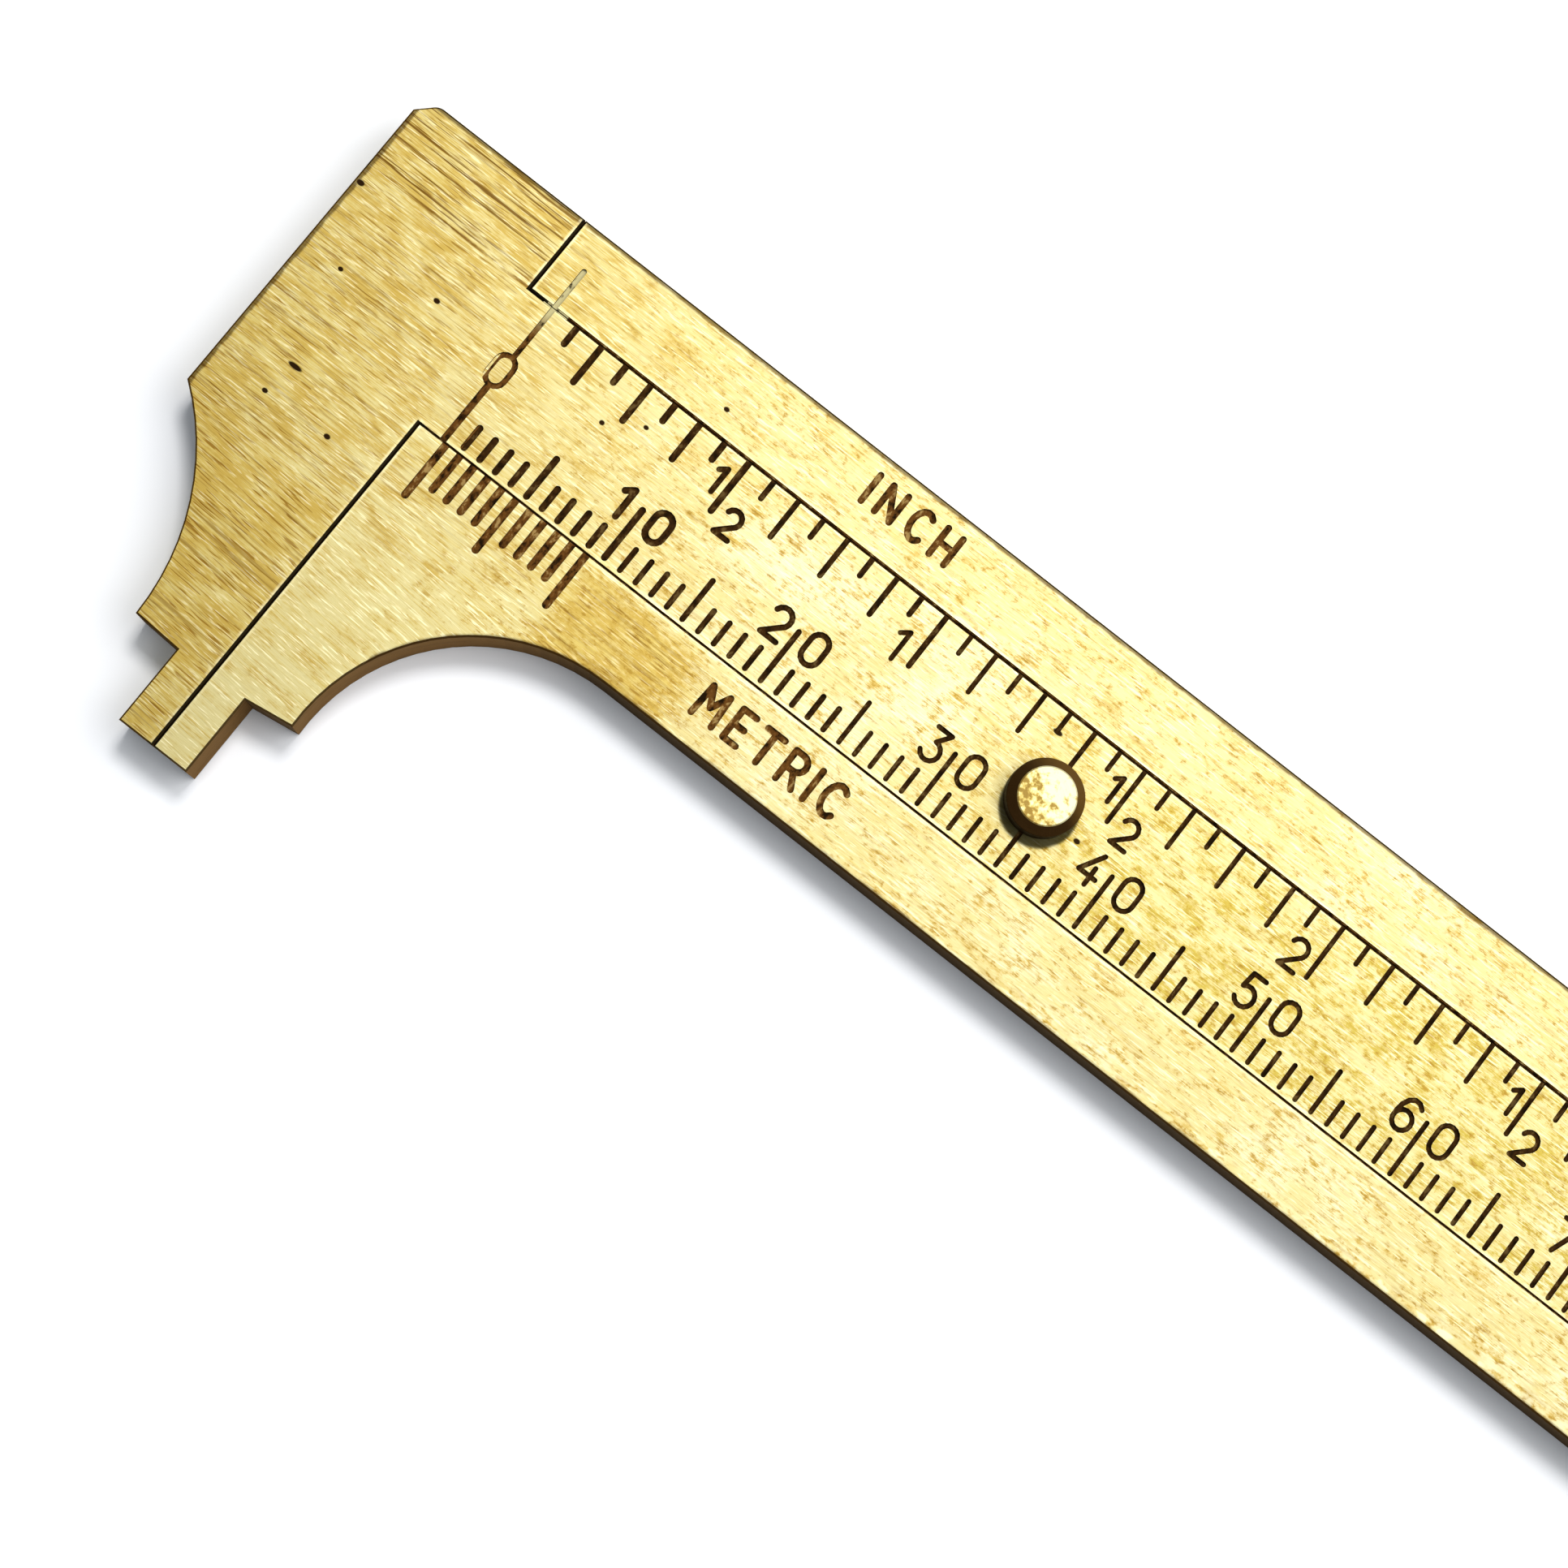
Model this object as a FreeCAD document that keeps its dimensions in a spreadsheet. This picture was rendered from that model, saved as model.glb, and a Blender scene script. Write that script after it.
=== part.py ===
# Pocket slide caliper in brass, jaws closed, in millimetres.
# X runs along the rule and is zero at the zero graduation, Y is zero on the tongue's
# centre line, Z is zero on the flat back and points out of the graduated face.
import FreeCAD, Part
import Sketcher
import math
import os

doc = FreeCAD.newDocument("slide_caliper")
sheet = doc.addObject("Spreadsheet::Sheet", "sizes")

driving_sizes = {
    "plate_depth": 3.2,       # back to graduated face
    "rail_half": 9.05,        # centre line to the outer edge of either rail
    "rule_end": 96.0,         # right-hand end of body and tongue
    "edge_break": 0.1,        # chamfer on the outer edges
    "upper_break": 0.09,      # chamfer on both sides of the upper seam
    "lower_break": 0.05,      # chamfer on both sides of the lower seam
    "running_gap": 0.05,      # clearance on each sliding face
    "jaw_line": -1.6,         # measuring face of the moving jaw
    "jaw_gap": 0.05,          # what is left between the closed jaws
    "jaw_tip": -25.4,         # lowest point of both jaws
    "prong_width": 2.1,       # narrow tip of each jaw
    "tongue_face": 4.42,      # half width of the tongue at the graduated face
    "tongue_root": 5.0,       # half width of the dovetail inside the channel
    "channel_floor": 1.2,     # metal left behind the channel
    "dovetail_low": 1.75,     # where the dovetail's slope starts
    "dovetail_high": 2.75,    # where it ends
    "head_left": -12.0,       # left edge of the head
    "head_corner": 0.95,      # bevel on the head's top left corner
    "corner_round": 0.3,      # how far the rounding reaches where that bevel meets the top
    "head_bottom": -9.95,     # where the moving jaw's sweep leaves the left edge
    "moving_sweep": 13.8,     # radius of the concave edge of the moving jaw
    "moving_toe": -6.45,      # outer end of that jaw's shoulder
    "moving_foot": -20.75,
    "moving_notch": -20.9,    # where the shoulder meets the prong
    "fixed_sweep": 10.75,     # radius of the concave edge of the fixed jaw
    "fixed_centre": 13.95,    # centre of that edge, along the rule
    "fixed_foot": -20.4,
    "fixed_notch": -20.8,
    "mark_depth": 0.15,       # depth of every engraved mark
    "travel": 80.0,           # how far the jaws open
    "knob_radius": 2.0,
    "knob_height": 1.7,
    "knob_bevel": 0.5,
    "knob_place": 34.85,
    "shank_radius": 0.8,
    "rivet_radius": 1.3,      # shank spread into the back of the tongue
    "pin_place": 1.2,         # stop pin, along the rule
    "pin_offset": -2.6,       # stop pin, across the rule
    "pin_radius": 0.75,
    "pin_top": 2.0,
    "stop_play": 0.15,        # pin to the end of its groove at each end of travel
    "stop_roof": 2.15,        # top of the stop groove
    "spring_tab": 84.5,       # fixed end of the friction spring
    "spring_bow": 86.9,       # where its bow starts
    "spring_end": 94.1,       # where its bow ends
    "spring_half": 1.9,       # half width of the strip
    "spring_thick": 0.18,
    "spring_sag": 0.35,
    "recess_roof": 1.75,      # roof of the recess that holds the spring
    "recess_margin": 0.3,
    "tack_place": 85.7,       # rivet of the spring
    "tack_radius": 0.5,
    "tack_head": 0.85,
    "tack_head_depth": 0.22,
    "tack_top": 2.6,
}
for row, (alias, size) in enumerate(driving_sizes.items(), start=1):
    sheet.set("A%d" % row, alias)
    sheet.set("B%d" % row, str(size))
    sheet.setAlias("B%d" % row, alias)
doc.recompute()


def value(expression):
    """The number that an expression on the sheet's cells gives now."""
    return float(sheet.evalExpression(expression))


def origin_plane(body, role):
    return next(item for item in body.Origin.OriginFeatures if item.Role == role)


def new_body(label):
    body = doc.addObject("PartDesign::Body", label)
    body.Label = label
    return body


def new_sketch(body, name, role="XY_Plane", height="0"):
    """A sketch on one of the body's origin planes, raised along its normal."""
    sketch = body.newObject("Sketcher::SketchObject", name)
    sketch.AttachmentSupport = [(origin_plane(body, role), "")]
    sketch.MapMode = "FlatFace"
    sketch.setExpression("AttachmentOffset.Base.z", height)
    return sketch


def arc_between(start, end, radius, side):
    """The short arc from start to end, its centre to the left for side 1, right for -1."""
    chord = end - start
    middle = (start + end) * 0.5
    across = FreeCAD.Vector(-chord.y, chord.x, 0).normalize() * side
    rise = math.sqrt(max(0, radius ** 2 - (chord.Length / 2) ** 2))
    return Part.Arc(start, middle + across * (rise - radius), end)


def outline(sketch, corners):
    """A closed outline through corners of (x, y) or, for an arc that ends there,
    (x, y, radius, side), all as expressions on the sheet's cells."""
    places = [FreeCAD.Vector(value(c[0]), value(c[1]), 0) for c in corners]
    edges = []
    for index, corner in enumerate(corners):
        start = places[index - 1]
        end = places[index]
        if len(corner) == 2:
            edges.append(sketch.addGeometry(Part.LineSegment(start, end)))
        else:
            arc = arc_between(start, end, value(corner[2]), corner[3])
            edges.append(sketch.addGeometry(arc))

    def end_at(edge, place):
        return 1 if (sketch.getPoint(edge, 1) - place).Length < 1e-6 else 2

    for index, corner in enumerate(corners):
        place = places[index]
        edge = edges[index]
        after = edges[(index + 1) % len(edges)]
        vertex = end_at(edge, place)
        joined = ("Coincident", edge, vertex, after, end_at(after, place))
        sketch.addConstraint(Sketcher.Constraint(*joined))
        for kind, number, text in (("DistanceX", place.x, corner[0]), ("DistanceY", place.y, corner[1])):
            added = sketch.addConstraint(Sketcher.Constraint(kind, -1, 1, edge, vertex, number))
            sketch.setExpression("Constraints[%d]" % added, text)
        if len(corner) > 2:
            added = sketch.addConstraint(Sketcher.Constraint("Radius", edge, value(corner[2])))
            sketch.setExpression("Constraints[%d]" % added, corner[2])
    return sketch


def circle(sketch, across, along, radius):
    centre = FreeCAD.Vector(value(across), value(along), 0)
    edge = sketch.addGeometry(Part.Circle(centre, FreeCAD.Vector(0, 0, 1), value(radius)))
    for kind, number, text in (("DistanceX", centre.x, across), ("DistanceY", centre.y, along)):
        added = sketch.addConstraint(Sketcher.Constraint(kind, -1, 1, edge, 3, number))
        sketch.setExpression("Constraints[%d]" % added, text)
    added = sketch.addConstraint(Sketcher.Constraint("Radius", edge, value(radius)))
    sketch.setExpression("Constraints[%d]" % added, radius)
    return sketch


def pad(body, sketch, name, length, symmetric=False):
    feature = body.newObject("PartDesign::Pad", name)
    feature.Profile = sketch
    feature.SideType = "Symmetric" if symmetric else "One side"
    feature.setExpression("Length", length)
    doc.recompute()
    return feature


def pocket(body, sketch, name, length, upwards=False, symmetric=False):
    """Cuts the sketch into the body, and stops if nothing was removed."""
    before = body.Shape.Volume
    feature = body.newObject("PartDesign::Pocket", name)
    feature.Profile = sketch
    feature.SideType = "Symmetric" if symmetric else "One side"
    feature.Reversed = upwards
    feature.setExpression("Length", length)
    doc.recompute()
    if body.Shape.Volume > before - 1e-4:
        raise RuntimeError(name + " removed nothing")
    return feature


def row_of(body, feature, name, pitch, count):
    """Repeats a feature along the rule."""
    before = body.Shape.Volume
    pattern = body.newObject("PartDesign::LinearPattern", name)
    pattern.Originals = [feature]
    pattern.Direction = (origin_plane(body, "X_Axis"), [""])
    pattern.Mode = "Spacing"
    pattern.Offset = pitch
    pattern.Occurrences = count
    body.Tip = pattern
    doc.recompute()
    if body.Shape.Volume > before - 1e-4:
        raise RuntimeError(name + " repeated nothing")
    return pattern


def chamfer(body, feature, name, size, wanted):
    """Chamfers the edges of a feature for which wanted(edge) is true."""
    chosen = ["Edge%d" % number for number, edge in enumerate(feature.Shape.Edges, start=1)
              if wanted(edge)]
    result = body.newObject("PartDesign::Chamfer", name)
    result.Base = (feature, chosen)
    result.setExpression("Size", size)
    doc.recompute()
    return result


def lies_at(edge, *heights):
    """True for an edge that lies flat at one of the heights."""
    box = edge.BoundBox
    flat = box.ZMax - box.ZMin < 1e-4
    return flat and any(abs(box.ZMin - value(height)) < 1e-4 for height in heights)


def break_edges(body, feature, name):
    """Chamfers every outer edge of a plate, front and back."""
    chamfer(body, feature, name, "sizes.edge_break",
            lambda edge: lies_at(edge, "0", "sizes.plate_depth"))


# Engraved marks. Every stroke of the cutter has round ends, and its width gets smaller
# in steps from the zero end of the rule.
broad_cut = 0.37              # up to the 10 mm mark
middle_cut = 0.31             # from there to the 25 mm mark
fine_cut = 0.27               # the rest of the rule
vernier_cut = 0.42
word_cut = 0.36
zero_cut = 0.3                # upper part of the zero line
run_out = 0.3                 # how far the cutter runs out over a seam

# How far each kind of mark reaches from its seam.
mark_start = 0.2              # millimetre marks start just above the lower seam
one_reach = 1.83
five_reach = 3.0
ten_reach = 3.65
sixteenth_reach = 1.3
eighth_reach = 2.55
half_reach = 3.4
vernier_short_reach = 2.45
vernier_long_reach = 3.5
rail_zero_reach = 2.55

# The zero line: the cut above the figure stands a little right of the one below it.
zero_line_high = 0.04
zero_line_low = -0.06
vernier_zero = 0.21           # the vernier stands this far past the zero line

# Figures and words: height of each, with how far its middle lies from its mark along the
# rule and its place across the rule.
zero_height = 2.1
zero_middle = 0.2
centimetre_height = 2.05
tens_figure = (-1.1, -1.2)
units_figure = (1.2, -1.15)
inch_height = 1.95
inch_figure = (-1.15, 1.75)
half_one_height = 1.75
half_one_figure = (-0.8, 2.7)
half_two_height = 1.85
half_two_figure = (1.15, 1.25)
inch_word = ("INCH", 20.97, 7.2, 2.04, word_cut, 0.51)
metric_word = ("METRIC", 22.6, -6.6, 2.13, word_cut, 0.42)

# How finely the strokes are drawn.
curve_step = 24               # degrees between the points of a curve
sharp_turn = 0.5              # radians from which the outside of a bend is rounded
corner_steps = 4
cap_steps = 6


def tick(sketch, along, low, high, width):
    """One straight graduation across the rule, with round ends."""
    half = width / 2
    left = along - half
    right = along + half
    bottom = FreeCAD.Vector(along, low + half, 0)
    top = FreeCAD.Vector(along, high - half, 0)
    up = FreeCAD.Vector(0, 0, 1)
    sketch.addGeometry([
        Part.LineSegment(FreeCAD.Vector(left, top.y, 0), FreeCAD.Vector(left, bottom.y, 0)),
        Part.ArcOfCircle(Part.Circle(bottom, up, half), math.pi, 2 * math.pi),
        Part.LineSegment(FreeCAD.Vector(right, bottom.y, 0), FreeCAD.Vector(right, top.y, 0)),
        Part.ArcOfCircle(Part.Circle(top, up, half), 0, math.pi),
    ])


def curve(centre_x, centre_y, radius_x, radius_y, first, last):
    """Points on an ellipse from one angle to another, in degrees."""
    steps = max(4, round(abs(last - first) / curve_step))
    angles = [math.radians(first + (last - first) * step / steps) for step in range(steps + 1)]
    return [(centre_x + radius_x * math.cos(a), centre_y + radius_y * math.sin(a)) for a in angles]


def ring(centre_x, centre_y, radius_x, radius_y):
    points = curve(centre_x, centre_y, radius_x, radius_y, 0, 360)
    return points[:-1] + [points[0]]


def oval(width, height):
    """A tall ring with straight sides."""
    radius = width / 2
    top = curve(radius, height - radius, radius, radius, 0, 180)
    bottom = curve(radius, radius, radius, radius, 180, 360)
    return top + bottom + [top[0]]


# Each glyph is drawn by the middle of the cutter on a height of 1, in two passes so
# that strokes that cross are never cut in the same pass.
glyphs = {
    "0": ([oval(0.58, 1)], []),
    "1": ([[(0.0, 0.80), (0.26, 1.0), (0.26, 0.0)]], []),
    "2": ([curve(0.29, 0.70, 0.29, 0.30, 160, -35) + [(0.0, 0.0), (0.58, 0.0)]], []),
    "3": ([[(0.05, 1.0), (0.54, 1.0), (0.26, 0.60)] + curve(0.27, 0.30, 0.29, 0.30, 70, -155)], []),
    "4": ([[(0.42, 1.0), (0.0, 0.28), (0.58, 0.28)]], [[(0.40, 0.56), (0.40, 0.0)]]),
    "5": ([[(0.54, 1.0), (0.12, 1.0), (0.06, 0.54)] + curve(0.27, 0.31, 0.29, 0.31, 105, -150)], []),
    "6": ([ring(0.29, 0.30, 0.29, 0.30)], [curve(0.36, 0.42, 0.36, 0.58, 50, 180)]),
    "7": ([[(0.0, 1.0), (0.56, 1.0), (0.18, 0.0)]], []),
    "8": ([ring(0.29, 0.27, 0.29, 0.27)], [ring(0.29, 0.77, 0.24, 0.23)]),
    "C": ([curve(0.31, 0.5, 0.31, 0.5, 50, 310)], []),
    "E": ([[(0.46, 1.0), (0.0, 1.0), (0.0, 0.0), (0.46, 0.0)]], [[(0.0, 0.5), (0.38, 0.5)]]),
    "H": ([[(0.0, 0.0), (0.0, 1.0)], [(0.56, 0.0), (0.56, 1.0)]], [[(0.0, 0.5), (0.56, 0.5)]]),
    "I": ([[(0.0, 0.0), (0.0, 1.0)]], []),
    "M": ([[(0.0, 0.0), (0.06, 1.0), (0.36, 0.42), (0.66, 1.0), (0.72, 0.0)]], []),
    "N": ([[(0.0, 0.0), (0.0, 1.0), (0.56, 0.0), (0.56, 1.0)]], []),
    "R": ([[(0.0, 0.0), (0.0, 1.0)], [(0.30, 0.44), (0.54, 0.0)]],
          [[(0.0, 1.0), (0.26, 1.0)] + curve(0.26, 0.73, 0.27, 0.27, 70, -70) + [(0.26, 0.46), (0.0, 0.46)]]),
    "T": ([[(0.0, 1.0), (0.60, 1.0)]], [[(0.30, 1.0), (0.30, 0.0)]]),
}


def glyph_width(character):
    strokes = glyphs[character][0] + glyphs[character][1]
    return max(x for stroke in strokes for x, y in stroke)


def side_points(points, half):
    """One side of a thick stroke: mitred inside each bend and rounded outside it."""
    side = []
    for index, point in enumerate(points):
        normals = []
        if index > 0:
            normals.append(left_normal(points[index - 1], point))
        if index < len(points) - 1:
            normals.append(left_normal(point, points[index + 1]))
        first = normals[0]
        last = normals[-1]
        turn = math.atan2(first.x * last.y - first.y * last.x, first.dot(last))
        if turn < -sharp_turn:
            side += [point + turned(first, turn * step / corner_steps) * half
                     for step in range(corner_steps + 1)]
        else:
            middle = (first + last).normalize()
            side.append(point + middle * (half / math.cos(turn / 2)))
    return side


def left_normal(start, end):
    along = end - start
    return FreeCAD.Vector(-along.y, along.x, 0).normalize()


def turned(vector, angle):
    return FreeCAD.Rotation(FreeCAD.Vector(0, 0, 1), math.degrees(angle)).multVec(vector)


def round_cap(centre, start, half):
    """Points of the half circle that closes a stroke's end, from its left side."""
    return [centre + turned(start, -math.pi * step / cap_steps) * half
            for step in range(1, cap_steps)]


def draw_loop(sketch, points):
    ends = points[1:] + points[:1]
    sketch.addGeometry([Part.LineSegment(start, end) for start, end in zip(points, ends)])


def stroke(sketch, points, width):
    """Outlines one stroke of the cutter; a stroke that ends where it began is a ring."""
    half = width / 2
    if (points[0] - points[-1]).Length < 1e-6:
        around = points[:-1]
        for side in (1, -1):
            loop = []
            for index, point in enumerate(around):
                before = left_normal(around[index - 1], point)
                after = left_normal(point, around[(index + 1) % len(around)])
                middle = (before + after).normalize()
                loop.append(point + middle * (side * half / middle.dot(after)))
            draw_loop(sketch, loop)
        return
    left = side_points(points, half)
    right = side_points(points[::-1], half)
    end_cap = round_cap(points[-1], left_normal(points[-2], points[-1]), half)
    start_cap = round_cap(points[0], left_normal(points[1], points[0]), half)
    draw_loop(sketch, left + end_cap + right + start_cap)


def write(passes, text, centre_x, centre_y, height, width, spacing):
    """Draws text in the sketches of the two passes, about its centre."""
    scale = height - width
    advance = [glyph_width(character) * scale for character in text]
    gap = spacing * scale
    start = centre_x - (sum(advance) + gap * (len(text) - 1)) / 2
    for character, step in zip(text, advance):
        for sketch, strokes in zip(passes, glyphs[character]):
            for points in strokes:
                places = [FreeCAD.Vector(start + x * scale, centre_y + (y - 0.5) * scale, 0)
                          for x, y in points]
                stroke(sketch, places, width)
        start += step + gap


def engrave(body, sketch, name):
    return pocket(body, sketch, name, "sizes.mark_depth")


def graduations(body, name, places, low, high, width, pitch=0, count=1):
    """Engraves ticks at the places given and repeats them along the rule."""
    sketch = new_sketch(body, name + "_sketch", height="sizes.plate_depth")
    for along in places:
        tick(sketch, along, low, high, width)
    cut = engrave(body, sketch, name)
    if count > 1:
        row_of(body, cut, name + "_row", pitch, count)


def lettering(body, name, entries):
    """Engraves entries of (text, centre x, centre y, height, stroke width, spacing)."""
    passes = [new_sketch(body, name + "_sketch_%d" % turn, height="sizes.plate_depth")
              for turn in (1, 2)]
    for text, centre_x, centre_y, height, width, spacing in entries:
        write(passes, text, centre_x, centre_y, height, width, spacing)
    for turn, sketch in enumerate(passes, start=1):
        if sketch.GeometryCount:
            engrave(body, sketch, name + "_%d" % turn)


def main_body():
    """Milled plate: two rails over a dovetail channel, and the fixed jaw."""
    body = new_body("main_body")
    face = "sizes.jaw_line + sizes.jaw_gap"
    prong = face + " + sizes.prong_width"
    drop = "(sizes.rail_half + sizes.fixed_sweep + sizes.fixed_foot)"
    toe = "sizes.fixed_centre - sqrt(sizes.fixed_sweep ^ 2 - %s ^ 2)" % drop
    plate = outline(new_sketch(body, "plate_outline"), [
        (face, "sizes.rail_half"),
        (face, "sizes.jaw_tip"),
        (prong, "sizes.jaw_tip"),
        (prong, "sizes.fixed_notch"),
        (toe, "sizes.fixed_foot"),
        ("sizes.fixed_centre", "-sizes.rail_half", "sizes.fixed_sweep", -1),
        ("sizes.rule_end", "-sizes.rail_half"),
        ("sizes.rule_end", "sizes.rail_half"),
    ])
    blank = pad(body, plate, "plate", "sizes.plate_depth")
    break_edges(body, blank, "outer_edges")

    root = "(sizes.tongue_root + sizes.running_gap)"
    mouth = "(sizes.tongue_face + sizes.running_gap)"

    def channel_side(edge):
        """One side of the channel from floor to mouth; the flare runs on over the face."""
        return [
            (root, "sizes.channel_floor"),
            (root, "sizes.dovetail_low"),
            (mouth, "sizes.dovetail_high"),
            (mouth, "sizes.plate_depth - " + edge),
            (mouth + " + 2 * " + edge, "sizes.plate_depth + " + edge),
        ]

    upper_side = channel_side("sizes.upper_break")
    lower_side = [("-(%s)" % across, up) for across, up in reversed(channel_side("sizes.lower_break"))]
    channel = outline(new_sketch(body, "channel_outline", "YZ_Plane"), upper_side + lower_side)
    pocket(body, channel, "channel", "3 * sizes.rule_end", symmetric=True)

    hole = circle(new_sketch(body, "pin_hole_outline"), "sizes.pin_place", "sizes.pin_offset",
                  "sizes.pin_radius")
    pocket(body, hole, "pin_hole", "sizes.channel_floor", upwards=True)

    seam = -value(mouth)
    vernier_step = 0.9        # ten spaces cover nine millimetres
    vernier_top = seam + run_out
    graduations(body, "vernier_long", [vernier_zero], seam - vernier_long_reach, vernier_top,
                vernier_cut, 5 * vernier_step, 3)
    for group, first in (("lower", 1), ("upper", 6)):
        places = [vernier_zero + vernier_step * (first + step) for step in range(4)]
        graduations(body, "vernier_" + group, places, seam - vernier_short_reach, vernier_top,
                    vernier_cut)
    graduations(body, "zero_mark", [zero_line_high], -seam - run_out, -seam + rail_zero_reach,
                zero_cut)
    lettering(body, "unit_words", [inch_word, metric_word])
    return body


def slide_bar():
    """Head with the moving jaw, and the graduated tongue that runs in the channel."""
    body = new_body("slide_bar")
    bevel = "sizes.rail_half - sizes.head_corner"
    corner = "sizes.head_left + sizes.head_corner"
    slope = "sizes.corner_round / sqrt(2)"
    rounding = "sizes.corner_round * (1 + sqrt(2))"
    prong = "sizes.jaw_line - sizes.prong_width"
    head = outline(new_sketch(body, "head_outline"), [
        ("sizes.jaw_line", "sizes.rail_half"),
        (corner + " + sizes.corner_round", "sizes.rail_half"),
        (corner + " - " + slope, "sizes.rail_half - " + slope, rounding, 1),
        ("sizes.head_left", bevel),
        ("sizes.head_left", "sizes.head_bottom"),
        ("sizes.moving_toe", "sizes.moving_foot", "sizes.moving_sweep", -1),
        (prong, "sizes.moving_notch"),
        (prong, "sizes.jaw_tip"),
        ("sizes.jaw_line", "sizes.jaw_tip"),
    ])
    blank = pad(body, head, "head", "sizes.plate_depth")
    break_edges(body, blank, "head_edges")

    under = "sizes.channel_floor + sizes.running_gap"

    def tongue_side(edge):
        """One side of the tongue, from its underside to the graduated face."""
        return [
            ("sizes.tongue_root", under),
            ("sizes.tongue_root", "sizes.dovetail_low"),
            ("sizes.tongue_face", "sizes.dovetail_high"),
            ("sizes.tongue_face", "sizes.plate_depth - " + edge),
            ("sizes.tongue_face - " + edge, "sizes.plate_depth"),
        ]

    upper_side = tongue_side("sizes.upper_break")
    lower_side = [("-(%s)" % across, up) for across, up in reversed(tongue_side("sizes.lower_break"))]
    start = "sizes.jaw_line - 2 * sizes.edge_break"
    tongue = outline(new_sketch(body, "tongue_outline", "YZ_Plane", start), upper_side + lower_side)
    pad(body, tongue, "tongue", "sizes.rule_end - (%s)" % start)

    stop_half = "(sizes.pin_radius + sizes.stop_play)"
    stop_low = "sizes.pin_offset - " + stop_half
    stop_high = "sizes.pin_offset + " + stop_half
    stop_end = "sizes.pin_place + sizes.travel"
    groove = outline(new_sketch(body, "stop_outline", height=under), [
        ("sizes.pin_place", stop_high),
        ("sizes.pin_place", stop_low, stop_half, 1),
        (stop_end, stop_low),
        (stop_end, stop_high, stop_half, 1),
    ])
    pocket(body, groove, "stop_groove", "sizes.stop_roof - (%s)" % under, upwards=True)

    recess_side = "sizes.spring_half + sizes.recess_margin"
    recess_start = "sizes.spring_tab - sizes.recess_margin"
    recess_end = "sizes.spring_end + sizes.recess_margin"
    recess = outline(new_sketch(body, "recess_outline", height=under), [
        (recess_end, recess_side),
        (recess_start, recess_side),
        (recess_start, "-(%s)" % recess_side),
        (recess_end, "-(%s)" % recess_side),
    ])
    pocket(body, recess, "spring_recess", "sizes.recess_roof - (%s)" % under, upwards=True)
    tack_hole = circle(new_sketch(body, "tack_hole_outline", height="sizes.recess_roof"),
                       "sizes.tack_place", "0", "sizes.tack_radius")
    pocket(body, tack_hole, "tack_hole", "sizes.tack_top - sizes.recess_roof", upwards=True)

    shank = circle(new_sketch(body, "shank_hole_outline", height=under),
                   "sizes.knob_place", "0", "sizes.shank_radius")
    drilled = pocket(body, shank, "shank_hole", "sizes.plate_depth", upwards=True)
    hole_edge = ("sizes.knob_place", "0", "sizes.shank_radius")
    place, across, radius = [value(number) for number in hole_edge]
    centre = FreeCAD.Vector(place, across, value(under))
    chamfer(body, drilled, "rivet_seat", "sizes.rivet_radius - sizes.shank_radius",
            lambda edge: lies_at(edge, under) and edge.BoundBox.XLength < 3 * radius
            and (edge.CenterOfMass - centre).Length < radius)

    seam = value("sizes.tongue_face")
    low = mark_start - seam
    for cut, first, fives, tens in ((broad_cut, 0, 2, 1), (middle_cut, 10, 3, 1), (fine_cut, 25, 11, 6)):
        ones = [first + step for step in (1, 2, 3, 4)]
        five = 10 * (first // 10) + 5
        ten = five + 5
        graduations(body, "ones_from_%d" % first, ones, low, one_reach - seam, cut, 5, fives)
        graduations(body, "fives_from_%d" % five, [five], low, five_reach - seam, cut, 10, tens)
        graduations(body, "tens_from_%d" % ten, [ten], low, ten_reach - seam, cut, 10, tens)

    inch = 25.4
    top_mark = seam + run_out
    for cut, first, sixteenths, halves in ((broad_cut, 0, 4, 1), (middle_cut, 1, 4, 1), (fine_cut, 2, 17, 4)):
        origin = first * inch / 2
        eighths = [origin + step * inch / 8 for step in (1, 2, 3)]
        graduations(body, "sixteenths_%d" % first, [origin + inch / 16], seam - sixteenth_reach,
                    top_mark, cut, inch / 8, sixteenths)
        graduations(body, "eighths_%d" % first, eighths, seam - eighth_reach, top_mark,
                    cut, inch / 2, halves)
        graduations(body, "half_%d" % first, [origin + inch / 2], seam - half_reach, top_mark,
                    cut, inch / 2, halves)

    zero_half = (zero_height - broad_cut) / 2
    graduations(body, "zero_line_low", [zero_line_low], -top_mark, zero_middle - zero_half, broad_cut)
    graduations(body, "zero_line_high", [zero_line_high], zero_middle + zero_half, top_mark, zero_cut)
    figures = [("0", zero_line_low, zero_middle, zero_height, zero_cut, 0)]

    def add_figure(text, mark, place, height, cut):
        figures.append((text, mark + place[0], place[1], height, cut, 0))

    for tens in range(1, 9):
        cut = (broad_cut, middle_cut)[tens - 1] if tens < 3 else fine_cut
        add_figure(str(tens), 10 * tens, tens_figure, centimetre_height, cut)
        add_figure("0", 10 * tens, units_figure, centimetre_height, cut)
    for inches in range(3):
        half_mark = inch * (inches + 0.5)
        cut = middle_cut if inches == 0 else fine_cut
        add_figure("1", half_mark, half_one_figure, half_one_height, cut)
        add_figure("2", half_mark, half_two_figure, half_two_height, cut)
        add_figure(str(inches + 1), inch * (inches + 1), inch_figure, inch_height, fine_cut)
    lettering(body, "figures", figures)
    return body


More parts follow.
